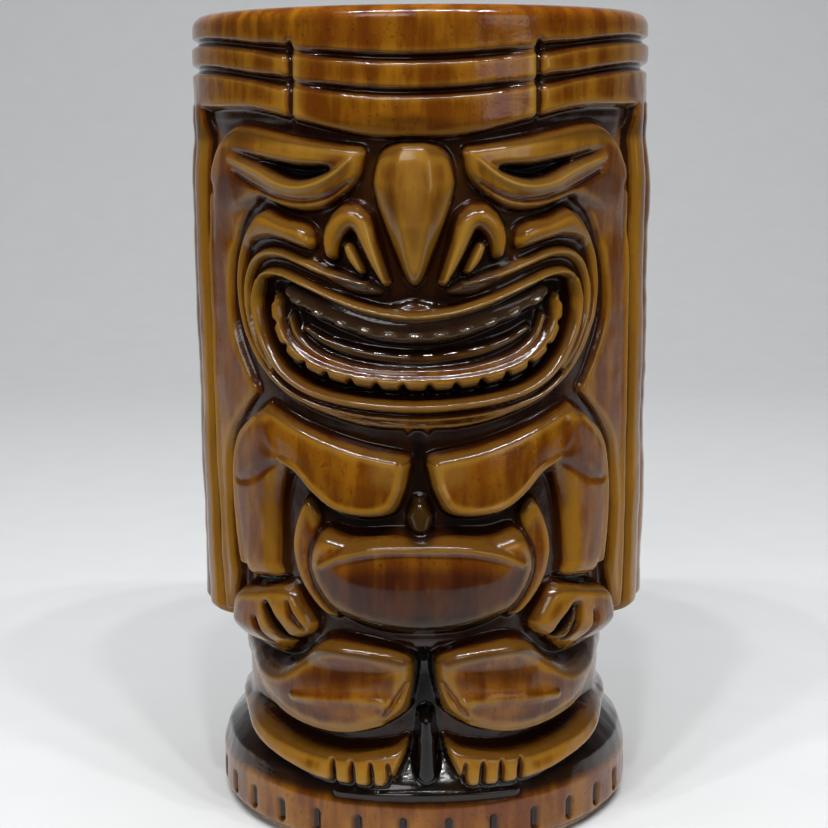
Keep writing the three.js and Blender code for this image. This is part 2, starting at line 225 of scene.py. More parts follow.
    def hollow(self, side, outline, level, roll=0.8):
        block, depth, _, _ = self.inside(side, outline)
        t = smooth(depth, -0.1, roll)
        self.rise[block] = self.rise[block] * (1 - t) + np.minimum(self.rise[block], level) * t
        return block, depth

    def tint(self, key, side, outline, amount=1.0, soft=1.2):
        block, depth, _, _ = self.inside(side, outline, soft + 0.5)
        self.paint[key][block] = np.maximum(self.paint[key][block], amount * smooth(depth, -soft / 2, soft))

    def tint_along(self, key, side, spine, amount=1.0):
        block, out, _, _ = self.near(side, spine, 1.5)
        self.paint[key][block] = np.maximum(self.paint[key][block], amount * (1 - smooth(out, 0.55, 1.15)))

    def blurred(self, field, width):
        """A field softened over a width in millimetres, the same all round the cup."""
        far = np.abs(self.u[:, None] - self.u[None])
        far = np.minimum(far, AROUND - far)
        gap = np.gradient(self.u)[None]
        across = np.exp(-0.5 * (far / width) ** 2) * gap
        up = np.exp(-0.5 * ((self.z[:, None] - self.z[None]) / width) ** 2)
        across /= across.sum(1, keepdims=True)
        up /= up.sum(1, keepdims=True)
        return up @ field @ across.T


SIDES = ((1, "_right"), (-1, "_left"))
sheet = Sheet()


# ---- the ground the figure is carved from
def carve_ground(s):
    face = smooth(np.abs(s.U), 47.6, 46.2)
    s.rise[:] = 1.0 + 0.9 * face * smooth(s.Z, 76, 82)


def hair(s):
    """Long hair in upright locks, from beside the face right round the back."""
    edge = 48.3
    pitch = (AROUND / 2 - edge) / 12
    for side, end in SIDES:
        across = ((side * s.U) % AROUND - edge) / pitch
        lock = np.abs(np.sin(np.pi * across))
        wobble = 0.4 * np.sin(np.floor(across) * 2.4) + 0.25 * np.sin(np.floor(across) * 5.1)
        down = np.clip((s.Z - HEM - wobble) / 2.6, 0, 1)
        height = (3.8 + 1.35 * lock ** 0.42) * (1 - (1 - down) ** 2.2) ** 0.5 - 0.9 * smooth(s.Z, 121, 133)
        height = np.where((across > 0) & (side * s.U > 0) & (s.Z < BROW + 2.4), height, -9)
        back = across > 6
        for name, where in (("hair_side", ~back), ("hair_back", back)):
            s.press(np.s_[:, :], np.where(where, height, -9), name + end, 0.3)


def headband(s):
    """Two sagging bands under the rim, stitched into six lengths."""
    brow = BROW + 1.5 - 5.3 * (1 - smooth(np.abs(s.U), 2, 34))
    s.rise = np.maximum(s.rise - 0.85 * BAND_STEP * smooth(s.Z, BROW - 5, BROW), 0.3)
    up = np.clip((s.Z - brow) / 0.9, 0, 1)
    body = (BAND_STEP + 2.15 - BAND_STEP * smooth(s.Z, BROW - 5, BROW)) * (1 - (1 - up) ** 2.4) ** 0.5
    body = np.where(up > 0, body, -9)
    middle = BAND_MIDDLE + 1.2 * sag(s.U)
    top = BAND_TOP + sag(s.U)
    length = AROUND / 6
    which = np.floor((s.U / length + 0.5) % 6).astype(int)
    places = ["front", "right", "right_back", "back", "left_back", "left"]
    for i, place in enumerate(places):
        s.press(np.s_[:, :], np.where((which == i) & (s.Z < middle), body, -9), "band_lower_" + place, 0.2)
        s.press(np.s_[:, :], np.where((which == i) & (s.Z >= middle) & (s.Z < top), body, -9),
                "band_upper_" + place, 0.2)
    s.press(np.s_[:, :], np.where(s.Z >= top, 2.15, -9), "rim", 0.2)
    seam = (s.U / length + 0.5) % 1
    seam = np.minimum(seam, 1 - seam) * length
    beside = 1 - 0.55 * smooth(seam, 9, 2) * (np.abs(s.U) < length / 2)
    thick = 0.55 + 0.5 * smooth(seam, 8, 1.5) * (np.abs(s.U) > length / 2) * (np.abs(s.U) < length)
    for level in (middle, top):
        s.rise -= 1.5 * beside * np.clip(1 - (np.abs(s.Z - level) / (thick + 0.2)) ** 2, 0, 1)
    between = (s.Z > brow) & (s.Z < top + 1.2)
    s.rise -= 1.3 * np.clip(1 - (seam / 0.8) ** 2, 0, 1) * smooth(s.Z, top + 2.2, top + 0.8) * (s.Z > brow)
    # painted highlight beside each stitch of the bands
    s.paint["bright"] += 0.8 * between * np.clip(1 - np.abs(np.abs(s.U) - length / 2 + 1.5) / 0.9, 0, 1)


def face_sides(s):
    """The raised strips that frame the face and the body in front of the hair."""
    outline = [(46.2, 123), (46.5, 110), (46.5, 95), (46.4, 78), (46.2, 60), (46, 48), (45.2, 41),
               (43.6, 41.6), (41.8, 46), (41.2, 50), (41.9, 55), (42.3, 60), (42, 65.5), (41.4, 71),
               (40.3, 75), (38, 78.3), (34.8, 81.5), (31.3, 85.3), (33, 88.2), (35.6, 92.4), (37.4, 96),
               (38.3, 100), (38, 105), (36.7, 110), (34.9, 114), (32.2, 117.6), (28.8, 120), (30, 124),
               (38, 127), (44, 127)]
    for side, end in SIDES:
        s.mass("face_side" + end, side, outline, 3.7, 1.2, tilt=(0.05, 0))
        s.strand("face_side" + end, side, [(45.3, 120, 1.2), (45.5, 100, 1.3), (45.4, 80, 1.3),
                                           (45.1, 60, 1.2), (44.8, 48, 1.1), (44.3, 42, 0.8)], 4.5, full=2,
                 blend=0.9)


def eyes(s):
    """Heavy brows and lids in one mass, with a narrow dark slit, a lower lid and a bag under it."""
    lid = [(7.9, 127), (7.9, 129.2), (9.5, 129.8), (13, 130.2), (17, 130.8), (21.5, 131.6), (26, 132.6),
           (30.5, 133.4), (35, 133.4), (39, 131.8), (42.3, 129.2), (44.9, 125.2), (46.2, 120), (44, 115.6),
           (38, 116.4), (32.8, 118.4), (28.8, 120), (26.4, 119.2), (22.5, 118.1), (18, 117.9), (14.2, 118.9),
           (10.5, 121.6), (8.4, 124.3)]
    slit = [(13.6, 125.5), (16.6, 124.1), (20, 123.4), (23, 123.9), (26.2, 125.4), (29, 127.2), (24, 126.9),
            (20, 126.3), (16, 126.2)]
    socket = [(11.6, 126.2), (15, 127.0), (20, 127.2), (26, 128), (32, 128.9), (36.5, 128.9), (34, 127.2),
              (28, 125.2), (24, 123.4), (20, 122.8), (16.4, 123.6), (13.4, 125.2)]
    rim = [(10.4, 127.2, 0.6), (12.4, 125.4, 1.0), (15, 123.6, 1.3), (18, 122.5, 1.4), (21, 122.3, 1.4),
           (24.5, 123, 1.4), (28, 124.6, 1.4), (31.5, 125.9, 1.3), (36, 127, 0.8)]
    for side, end in SIDES:
        name = "eyelid" + end
        s.mass(name, side, lid, 4.1, 1.7, crown=0.6, blend=0.5)
        s.hollow(side, socket, 3.4, 1.6)
        s.hollow(side, slit, 1.7, 0.8)
        s.strand(name, side, rim, 5.0, full=2.0, blend=0.7)
        s.groove(side, [(10.8, 123.4, 0.3), (13.5, 121.4, 0.5), (17, 120.2, 0.6), (20.5, 120, 0.6),
                        (24.5, 120.7, 0.6), (29.5, 122.3, 0.6), (35, 124.6, 0.5)], 0.8)
        # painted shade, near-black, in the slit and the deep end of the socket
        s.tint("painted_shade", side, slit, 1.0, 0.8)
        s.tint("painted_shade", side, [(26, 126.2), (31, 127.4), (36, 128.2), (34, 128.6), (28, 128)], 0.6, 1.0)
        # painted shade, brown, on the bag under the lower lid
        s.tint("brown", side, [(12, 123), (17, 120.8), (22, 120.9), (28, 122.9), (33, 124.8), (40, 124),
                               (40, 118), (33, 119), (28, 120.4), (22, 118.6), (16, 118.8), (11, 121.8)],
               0.6, 1.4)
        # painted highlight along the lower lid's rim and on the lid above the slit
        s.tint_along("bright", side, rim, 0.45)
        s.tint("bright", side, [(8.4, 128.8), (12, 129.4), (24, 130.6), (22, 128), (14, 127.4), (9.4, 127)],
               0.25, 2)


def soften_temples(s):
    """Melts the outer end of each lid into the strip below it."""
    soft = s.blurred(s.rise, 2.0)
    out = np.abs(s.U)
    share = smooth(out, 35, 38) * smooth(out, 46.5, 44.5) * smooth(s.Z, 110, 114) * smooth(s.Z, 124, 121)
    s.rise = s.rise * (1 - share) + soft * share


def nose(s):
    """A long drop with a flat ridge and a slanting plane on each side."""
    half = [(0, 130.2), (4.0, 129.9), (6.2, 127.8), (7.1, 123.2), (6.2, 118.6), (4.8, 114.4), (3.3, 110.3),
            (2.0, 107.2), (0.8, 105.7), (0, 105.5)]
    block, depth, u, z = s.inside(1, both_sides(half)[:-1])
    levels, widths = zip(*[(b, a) for a, b in half[::-1]][1:-1])
    width = np.interp(z, levels, widths)
    ridge = 0.36 * width
    facet = 1 - 0.42 * np.clip((np.abs(u) - ridge) / np.maximum(width - ridge, 0.5), 0, 1)
    along = np.interp(z, [105.5, 108, 116, 122, 127, 130.2], [0.66, 0.84, 1, 1, 0.92, 0.8])
    edge = (1 - (1 - np.clip(depth / 1.2, 0, 1)) ** 2.4) ** 0.5
    s.press(block, np.where(depth > 0, 7.6 * along * facet * edge, -9), "nose", 0.3)
    # painted highlight down the ridge of the nose
    s.tint_along("bright", 1, [(0, 128.5, 2.4), (0, 118, 2.0), (0, 108, 0.9)], 0.3)
    for side, end in SIDES:
        name = "nostril" + end
        # painted shade, brown, on the side planes of the nose
        s.tint("brown", side, [(2.8, 129), (6.6, 126), (6.9, 121), (4.6, 114), (2.4, 108.4), (2.2, 118)],
               0.55, 1.0)
        s.strand(name, side, [(4.8, 106.3, 0.8), (6.2, 109.6, 1.5), (7.5, 113, 1.9), (8.9, 116.6, 2.5),
                              (11.2, 117.3, 2.8), (13.2, 115.2, 2.5), (13.9, 112.8, 1.9), (13.9, 111.0, 1.2)],
                 6.0, full=2.4)
        s.strand(name, side, [(8.8, 108.2, 0.9), (10.1, 110.4, 1.5), (10.9, 112.3, 1.3)], 5.4)
        s.strand("cheek" + end, side, [(6, 104.7, 0.8), (9.4, 105.3, 1.6), (12.8, 106.5, 1.6),
                                       (15.2, 107.6, 1.0)], 4.0)
        # painted sheen, grey, on the lump under the nostril
        s.tint_along("painted_sheen", side, [(6, 104.7, 0.8), (9.4, 105.3, 1.6), (12.8, 106.4, 1.5)], 1.0)
        # painted shade, near-black, in the hollow beside and under the nostril
        s.tint("painted_shade", side, [(5, 103.4), (7, 107), (8.4, 108.4), (11.6, 108.6), (13, 110.6), (15.6, 111.4),
                               (17, 109.6), (13, 108.4), (9, 107.2)], 0.9)
        # painted highlight on the rims of the nostril
        s.tint_along("bright", side, [(5.0, 107, 0.9), (7.2, 112, 1.0), (8.6, 116, 1.3)], 0.35)
        s.tint_along("bright", side, [(8.9, 108.6, 0.8), (10.6, 111.8, 0.9)], 0.35)


LIP = [(0, 100.3), (5, 100.8), (10, 102), (15, 103.8), (20, 105.8), (24, 107.2), (27, 107.3), (29.2, 105.8),
       (30.2, 102.6), (29.8, 98.8), (28.2, 94.8), (25.4, 90.9), (21.8, 88.1), (17, 86.2), (10, 85), (0, 84.4)]


def muzzle(s):
    """Ridges nested round the mouth: the lips, a sweep from the nostrils to the chin, and the cheeks."""
    pad = [(28.4, 119.0), (31.6, 115.4), (33.7, 111.4), (35.2, 107), (35.8, 102.8), (35, 98.6), (33.1, 94.4),
           (30.2, 90.4), (26.4, 86.7), (21.5, 84.1), (14, 82), (7, 80.8), (0, 80.3), (-3, 80.4), (-3, 101.6),
           (6, 102.4), (12, 105), (15.4, 108.6), (17, 111.4), (16.8, 114), (19.2, 116.6), (23, 117.4)]
    apple = [(27.6, 118.8), (22.5, 117.2), (19.2, 116.5), (17.3, 115), (16.9, 112.6), (18, 111.3),
             (22, 112.3), (26, 113.2), (30, 112.4), (32.2, 110.6), (32.4, 113.4), (30.4, 116.4)]
    outer = [(29.4, 117.0, 0.9), (32.2, 113, 1.3), (34, 108.2, 1.5), (34.4, 103, 1.5), (33.4, 98.2, 1.4),
             (31, 93.6, 1.3), (27.6, 89.4, 1.1), (23, 86.2, 0.9), (16, 83.9, 0.7), (8, 82.6, 0.6),
             (0, 82.2, 0.6)]
    sweep = [(8, 105.9, 0.6), (12, 106.8, 0.8), (16, 108, 1.0), (20, 109.5, 1.1), (24, 110.8, 1.2),
             (27.6, 110.7, 1.2), (30.2, 109.2, 1.2), (31.9, 106, 1.1), (32.4, 102.3, 1.0), (31.6, 98.2, 0.9),
             (29.6, 94, 0.8), (26.6, 90.2, 0.7)]
    for side, end in SIDES:
        name = "cheek" + end
        s.mass(name, side, pad, 3.0, 1.3)
        s.mass(name, side, apple, 5.0, 1.6, crown=0.8, blend=0.5)
        s.strand(name, side, outer, 4.6, full=2.4)
        s.strand(name, side, [(0, 80.9, 0.6), (9, 81.4, 0.6), (18, 83.6, 0.6), (24, 86.0, 0.5)], 4.1)
        s.strand(name, side, sweep, 5.0, full=2.0)
        # painted highlight along the sweep
        s.tint_along("bright", side, [(p[0], p[1], 0.7 * p[2]) for p in sweep], 0.35)
        # painted shade, brown, on the outer slope of the cheek
        s.tint("brown", side, [(30, 116), (33.8, 110), (35, 103), (32.4, 94), (27, 88), (20, 84.6), (8, 82),
                               (8, 83.4), (20, 86.6), (27, 90.6), (31, 98), (32, 106), (30, 112)], 0.5, 1.4)
        # painted shade, near-black, under the nose
        s.tint("painted_shade", side, [(0, 104.4), (5, 104), (9, 103.6), (6, 101.8), (0, 101.4)], 0.6, 1.2)


def mouth(s):
    """A wide grimace: gums and small teeth above, pointed teeth below, and a dark hollow between."""
    inner = [(u, z) for u, z in LIP if u > 0]
    block, depth, u, z = s.inside(1, [(0, LIP[0][1])] + inner + [(0, LIP[-1][1])]
                                  + [(-u, z) for u, z in inner[::-1]])
    t = smooth(depth, 0, 1.4)
    s.rise[block] = s.rise[block] * (1 - t) + 1.2 * t
    s.owner[block] = np.where(depth > 0.2, 0, s.owner[block])
    # painted shade, near-black, deepening into the mouth
    s.paint["painted_shade"][block] = np.maximum(s.paint["painted_shade"][block], 0.68 * smooth(depth, 0.6, 1.6))
    gum = both_sides([(0, 97.7, 2.5), (6, 98.1, 2.5), (12, 99.8, 2.3), (18, 101.9, 2.0), (23, 104, 1.6)])
    s.strand("lip_upper", 1, gum, 3.7, full=4)
    # painted sheen, grey, on the gum
    s.tint_along("painted_sheen", 1, gum, 0.8)
    shelf = both_sides([(0, 92.6, 1.7), (9, 93.4, 1.6), (16, 95.2, 1.3), (20.5, 97.6, 0.8)])
    s.strand("tongue", 1, shelf, 2.6, full=2)
    for i in range(-5, 6):
        u0 = i * 4.3
        z0 = 96.6 + 0.0125 * u0 * u0
        lift = 0.025 * u0
        spot = [(u0 - 0.7, z0 - 0.7 * lift, 0.85), (u0 + 0.7, z0 + 0.7 * lift, 0.85)]
        s.strand("teeth_upper", 1, spot, 4.5, full=2)
        # painted highlight on each upper tooth
        s.tint_along("bright", 1, spot, 1.0)
    jaw = both_sides([(0, 88.6, 1.9), (5, 88.7, 1.9), (9.5, 89.1, 1.9), (14, 89.9, 1.9), (18.2, 91.2, 1.9),
                      (21.8, 93.2, 1.9), (24.4, 96, 1.8), (25.8, 99.4, 1.6), (26, 102.6, 1.3)])
    s.strand("teeth_lower", 1, jaw, 4.4, full=2.2)
    slope = both_sides([(0, 90.4, 1.2), (9.5, 90.9, 1.2), (17.4, 93, 1.2), (21.6, 96, 1.1),
                        (23.2, 99.6, 0.9)])
    s.strand("teeth_lower", 1, slope, 3.4, full=2, blend=0.8)
    line = flowing(np.array(jaw), 0.4)
    length = np.concatenate([[0], np.cumsum(np.hypot(*np.diff(line[:, :2], axis=0).T))])
    for at in np.arange(-7.5, 8) * 4.5 + length[-1] / 2:
        u0, z0, half = (np.interp(at, length, line[:, k]) for k in range(3))
        ahead = [np.interp(at + 0.5, length, line[:, k]) - np.interp(at - 0.5, length, line[:, k])
                 for k in (0, 1)]
        out = np.array([ahead[1], -ahead[0]]) / np.hypot(*ahead)
        foot, tip = np.array([u0, z0]) + out * half, np.array([u0, z0]) + out * half * 0.05
        notch = [(*foot, 1.0), (*((foot + tip) / 2), 0.7), (*tip, 0.2)]
        s.groove(1, notch, 2.6)
        # painted shade in each notch between the lower teeth
        s.tint_along("painted_shade", 1, notch, 0.8)
    # the painted shade is taken off the tops of the lower teeth
    s.paint["painted_shade"] *= 1 - 0.9 * (s.owner == s.number("teeth_lower")) * (s.rise > 3.2)
    upper, lower = [(u, z, 0.95) for u, z in LIP[:7]], [(u, z, 1.35) for u, z in LIP[7:]]
    lower[0] = (*lower[0][:2], 1.1)
    s.strand("lip_lower", 1, [(-u, z, w) for u, z, w in lower] + lower[::-1][1:], 5.2, full=2.4)
    s.strand("lip_upper", 1, both_sides(upper + [(28.6, 106.6, 0.9)]), 5.2, full=2)
    # painted highlight along the upper lip
    s.tint_along("bright", 1, both_sides([(u, z, 0.8) for u, z, _ in upper]), 0.4)
    # painted shade, brown, on the lower lip
    s.tint_along("brown", 1, [(-u, z, w) for u, z, w in lower] + lower[::-1][1:], 0.55)


def torso(s):
    """Square breasts that run into the arms, the flanks in front of the arms, and a round belly."""
    pec = [(1.3, 75.4), (1.4, 72), (2.5, 68), (4.4, 65), (8, 64.1), (12, 64.2), (15.6, 65.2), (19, 67.8),
           (21.6, 70.8), (24.4, 73), (29, 76), (29.6, 83.6), (26.6, 83.4), (21.8, 81.4), (16, 79.2),
           (10, 77.4), (5, 76.4)]
    arm = [(28.8, 83.9), (33.2, 81.4), (36.2, 78), (38.4, 74), (39.1, 69), (39.1, 61), (38.6, 55), (37, 51.6),
           (35, 49.6), (27.4, 50.6), (27.2, 54), (26.9, 60), (26.2, 66), (24.6, 70.6), (22.6, 72.4),
           (24, 78), (25.6, 82.6)]
    flank = [(18, 62), (18.8, 66.2), (21.4, 67), (23.4, 63.5), (24.7, 59), (24.5, 55), (23.1, 51),
             (20.5, 47.4), (17.6, 45.2), (15, 45.6), (18, 50), (19.6, 56)]
    for side, end in SIDES:
        name = "chest_arm" + end
        s.mass(name, side, arm, 4.6, 3.4, crown=0.9, tilt=(0.02, 0.012))
        s.mass(name, side, pec, 4.9, 1.8, crown=0.7, tilt=(-0.01, -0.04), blend=0.9)
        s.strand(name, side, [(3.2, 70, 0.9), (5.2, 66.6, 1.2), (8.6, 65.6, 1.3), (14, 66.2, 1.3),
                              (18, 68.8, 1.3), (21.4, 72.2, 1.2), (25, 73.9, 1.0)], 5.7, full=2, blend=0.8)
        s.strand(name, side, [(2.9, 74.4, 0.9), (3.4, 71, 1.2), (4.6, 68, 1.0)], 6.0, full=2, blend=0.8)
        s.strand(name, side, [(31, 81, 1.0), (35.4, 76.6, 1.4), (37.2, 70, 1.4), (37.2, 60, 1.4),
                              (36.2, 53, 1.1)],
                 5.3, full=2, blend=0.9)
        s.groove(side, [(25.4, 73.4, 0.5), (28.6, 71.6, 1.3), (32.6, 69.4, 1.4), (36, 68.6, 0.8)], 0.5)
        s.mass(name, side, flank, 3.9, 1.3)
        # painted shade, brown, along the lower edge of the breast out to the arm
        s.tint("brown", side, [(7, 66.6), (13, 66.4), (18, 69), (22, 73), (30, 75.6), (34, 73), (36, 69),
                               (30, 69.6), (25, 71), (20, 68)], 0.55, 1.4)
        # painted shade, near-black, under the breast
        s.tint("painted_shade", side, [(4.2, 64.4), (8, 63.6), (15, 64.2), (20, 67.6), (19, 64.6), (14, 62.2),
                               (5, 61.6)], 0.8)
        # painted highlight on the top of the breast
        s.tint("bright", side, [(3, 75.6), (8, 76.8), (8, 71), (3.4, 70)], 0.25, 2)
        # painted shade in the slot between arm and flank
        s.tint("painted_shade", side, [(25.2, 66), (26, 60), (26.3, 54), (25.2, 54), (25.2, 60), (24.4, 65)], 0.8)
    s.strand("breastbone", 1, [(0, 66.4, 1.9), (0, 64.6, 2.7), (0, 62.8, 2.4)], 4.8, full=2)
    # painted shade down the middle between the breasts and round the breastbone
    s.tint_along("painted_shade", 1, [(0, 79, 1.3), (0, 71, 1.6), (0, 66.6, 3), (0, 62.6, 3.2)], 0.85)
    half = [(0, 62.2), (6, 62), (12, 61.6), (17, 62.4), (19.6, 60), (21, 55.8), (20.4, 52), (18.6, 48.4),
            (16, 46), (11, 44), (6, 43), (0, 42.6)]
    s.mass("belly", 1, both_sides(half)[:-1] + [(0, 42.6)], 5.0, 3.2, crown=1.9, tilt=(0, 0.08), blend=0.4)
    s.strand("belly", 1, both_sides([(0, 59.6, 1.9), (7, 59.3, 1.9), (12.5, 57.9, 1.8), (17, 55.6, 1.2)]),
             7.3, full=2, blend=1.0)
    # painted shade, brown, on the lower belly
    s.tint("brown", 1, both_sides([(0, 56.6), (8, 56.2), (14, 55), (19.4, 57.6), (20, 52), (17, 47.6),
                                   (10, 45), (0, 44)])[:-1] + [(0, 44)], 1, 2)
    # painted shade, near-black, under the belly
    s.tint("painted_shade", 1, [(-16, 48), (-8, 47.2), (8, 47.2), (16, 48), (12, 43.4), (0, 42), (-12, 43.4)], 0.95,
           2.4)


def hands(s):
    """Closed hands that hang over the hem, with dark slots between the fingers."""
    fist = [(24, 50.4), (21.6, 47.8), (19.6, 44), (20.4, 41.4), (23.6, 39.8), (26.6, 37.4), (29.6, 35.3),
            (33.6, 34.3), (38, 35.2), (41.4, 37), (42, 41), (41, 45.4), (38.6, 47.8), (33, 49.2), (28, 50.4)]
    slots = {"_left": [[(25, 47.4, 0.5), (24, 45, 0.7), (21.8, 42.6, 0.5)],
                       [(29.8, 46, 0.8), (27.6, 42.6, 1.4), (24.6, 39.8, 0.8)],
                       [(32.6, 43, 0.6), (31.4, 40, 0.9), (29.4, 36.8, 0.7)]],
             "_right": [[(28.4, 45.8, 0.6), (26.6, 43, 1.6), (24.6, 41.2, 1.0)],
                        [(29.4, 46, 0.5), (29, 42.6, 0.8), (27, 39.4, 0.8)],
                        [(33.4, 44, 0.5), (33.2, 40.8, 0.8), (31, 37, 0.6)]]}
    for side, end in SIDES:
        name = "hand" + end
        s.mass(name, side, fist, 4.6, 2.2, crown=1.2)
        for depth, slot in zip((1.2, 3.2, 1.4) if side < 0 else (3.2, 1.6, 1.0), slots[end]):
            s.groove(side, slot, depth)
            # painted shade in the slots between the fingers
            s.tint_along("painted_shade", side, slot, 0.25 * depth)
        s.groove(side, [(26.6, 50.6, 0.5), (31, 50.2, 0.9), (37, 49, 0.6)], 1.2)
        # painted shade, brown, on the outer side of the hand
        s.tint("brown", side, [(37, 47), (41, 45), (41.6, 38), (37.4, 36), (34, 38), (36, 43)], 0.5, 2)


def legs(s):
    """Short bent legs on small feet, with a band that sweeps from the toes round the side of the cup."""
    s.rise -= 0.6 * smooth(s.Z, HEM, HEM - 5)
    thigh = [(1.4, 38.4), (5, 40.3), (10, 41.4), (15, 41.9), (18.5, 41.1), (22, 38.9), (26, 36.2), (30, 34),
             (36, 33.3), (42, 33.3), (56, 34), (66, 34), (66, 30.6), (56, 30), (42, 27.6), (36, 26),
             (30, 24.4), (24, 22.9), (18, 22.2), (12, 22.8), (7, 24.8), (3.2, 27.4), (2.2, 30.5), (1.4, 34.4)]
    foot = [(3.4, 21.9), (6, 21), (10, 20.2), (16, 19.5), (22, 19.6), (30, 20.6), (38, 21.9), (50, 22.8),
            (64, 23.4), (74, 23), (74, 18.6), (64, 18.6), (50, 18.6), (44, 18), (36, 16.2), (28, 14.4),
            (21, 13.1), (12, 12.8), (7, 13.2), (5.4, 15.6), (4, 18.6)]
    for side, end in SIDES:
        s.mass("thigh" + end, side, thigh, 6.4, 3.0, crown=1.9)
        s.strand("thigh" + end, side, [(7, 30, 2.0), (12, 30.4, 2.6), (18, 29.8, 2.4), (25, 29.2, 1.4)], 8.4,
                 full=2, blend=1.2)
        s.strand("thigh" + end, side, [(8, 25.4, 0.5), (14, 23.8, 0.7), (20, 23.6, 0.8), (28, 25, 0.8),
                                       (38, 27.6, 0.8), (50, 30, 0.8), (64, 31.4, 0.6)], 7.0, full=2,
                 blend=0.7)
        s.groove(side, [(3.4, 33.4, 0.6), (4.8, 31, 0.9), (7.4, 27.2, 0.7)], 1.0)
        # painted shade, brown, on the lower planes of the thigh
        s.tint("brown", side, [(4, 35.2), (12, 36), (20, 35.4), (28, 33), (50, 33), (50, 29), (36, 26.6),
                               (27, 24.4), (16, 24), (8, 26), (20, 28), (24, 31), (14, 32.8), (4, 33)], 0.75,
               1.6)
        # painted shade in the crease inside the knee
        s.tint("painted_shade", side, [(2.4, 33.6), (4.6, 29), (7.4, 26.6), (4.4, 27), (2.4, 30.4)], 0.5)
        at_side = 1 - 0.86 * smooth(side * s.U, 24, 54) * (side * s.U > 0) * (s.Z < HEM - 1)
        s.rise *= at_side
        name = "foot" + end
        block, depth, u, z = s.inside(side, foot)
        edge = (1 - (1 - np.clip(depth / 1.7, 0, 1)) ** 2) ** 0.5
        outward = smooth(u, 30, 56)
        height = (6.9 - 0.22 * (z - 16)) * (1 - outward) + (6.6 - 0.95 * (z - 15)) * outward
        s.press(block, np.where(depth > 0, height * edge, -9), name)
        for u0 in (6.9, 10.2, 13.8, 17.6):
            s.groove(side, [(u0 + 0.3, 17.8, 0.3), (u0, 15.2, 0.65), (u0 - 0.1, 12.8, 0.9)], 2.4)
            # painted shade between the toes
            s.tint_along("painted_shade", side, [(u0 + 0.2, 16.4, 0.5), (u0, 12.8, 1.0)], 0.5)
        for u0 in (5.6, 8.6, 12, 15.7, 19.4):
            # painted highlight on the toes
            s.tint_along("bright", side, [(u0, 16.2, 1.0), (u0, 14, 1.2)], 0.35)
    s.strand("post", 1, [(0, 25.6, 1.8), (0, 20, 2.6), (0, 15.2, 2.8)], 5.2)
    # painted shade, near-black, between the legs
    s.tint_along("painted_shade", 1, [(0, 38.4, 2.2), (0, 27, 3.6), (0, 14.6, 5.0)], 1.0)
    step = [(-17.4, 11.4, 1.0), (-8, 11.7, 1.3), (0, 11.8, 1.5), (8, 11.7, 1.3), (17.4, 11.4, 1.0)]
    s.strand("step", 1, step, 6.0)
    # painted shade, near-black, on the step under the feet
    s.tint_along("painted_shade", 1, [(p[0], p[1], p[2] + 1.0) for p in step], 0.95)


def plinth(s):
    """The round base, notched all round, with a slope up to the cup."""
    out = PLINTH - wall_radius(s.Z) - FIT
    under = np.clip((3.0 - s.Z) / 1.8, 0, 1)
    edge = out - 1.9 * (1 - np.sqrt(1 - under ** 2))
    flare = out - np.interp(s.Z, [PLINTH_TOP, 10.4, 13.4, 17.7, SLOPE_TOP], [0, 0.3, 1.2, 5.2, 7])
    height = np.where(s.Z < PLINTH_TOP, edge, flare)
    s.press(np.s_[:, :], np.where(s.Z < SLOPE_TOP, height, -9), "plinth", 0.5)
    turn = s.U / ROLLED + np.radians(0.3)
    place = (turn / (2 * math.pi) * NOTCHES) % 1
    far = np.abs(place - 0.5) * 2 * math.pi * PLINTH / NOTCHES
    tall = smooth(s.Z, 2.5, 3.4) * smooth(s.Z, 7.9, 6.9)
    notch = np.clip(1 - far / (1.25 * np.maximum(tall, 0.05)), 0, 1) * tall
    s.rise -= 1.0 * notch
    # painted shade in the notches
    s.paint["painted_shade"] = np.maximum(s.paint["painted_shade"], 0.75 * smooth(notch, 0.05, 0.6))
    # painted shade, near-black, on the plinth's slope under the feet
    on_slope = s.owner == s.number("plinth")
    slope = 0.9 * smooth(s.Z, PLINTH_TOP + 0.3, PLINTH_TOP + 1.7) * on_slope
    s.paint["painted_shade"] = np.maximum(s.paint["painted_shade"], slope)


for work in (carve_ground, hair, face_sides, muzzle, nose, eyes, soften_temples, mouth, torso, hands, legs,
             headband, plinth):
    work(sheet)


# ---- softening by the glaze, unevenness of the hand, and where the glaze runs thick or thin, which also places painted shade in hollows, painted highlight on crests and painted shade on slopes that face down
def unevenness(s, width, seed):
    """Random dents about width millimetres across."""
    rough = s.blurred(np.random.default_rng(seed).normal(size=s.U.shape), width)
    return rough / rough.std()


sharp = sheet.blurred(sheet.rise, 0.26)
hand_made = 0.09 * unevenness(sheet, 4.0, 3) + 0.035 * unevenness(sheet, 1.2, 5)
calm = smooth(sheet.Z, SHEET_HEIGHT - 3, SHEET_HEIGHT - 8) * smooth(sheet.Z, 1.2, 3)
skin = sharp + hand_made * calm
# How far the skin sinks under its blurred self, over a small and a wide reach: painted shade in the hollows,
# where the glaze also runs thick, and, below zero, painted highlight on the crests.
sheet.paint["pool_and_shade"] = np.clip((sheet.blurred(sharp, 1.3) - sharp) / 1.1, -1, 1)
sheet.paint["deep_pool_and_shade"] = np.clip((sheet.blurred(sharp, 4.0) - sharp) / 2.2, -1, 1)
# How steeply the skin faces down, for painted shade on the undersides of ledges.
sheet.paint["down"] = np.clip(-np.gradient(sharp, GRID, axis=0), -1, 1)
for key in ("brown", "painted_shade", "bright", "painted_sheen"):
    sheet.paint[key] = sheet.blurred(sheet.paint[key], 0.35)


# ---- the skin as rows of points: up the outside, over the lip and a little way down inside
MOUTH_RADIUS = WALL + DRAFT + BAND_STEP - 2.5
SHOULDER = BAND_TOP + BAND_SAG + 1.6
LIP_STEPS = 14


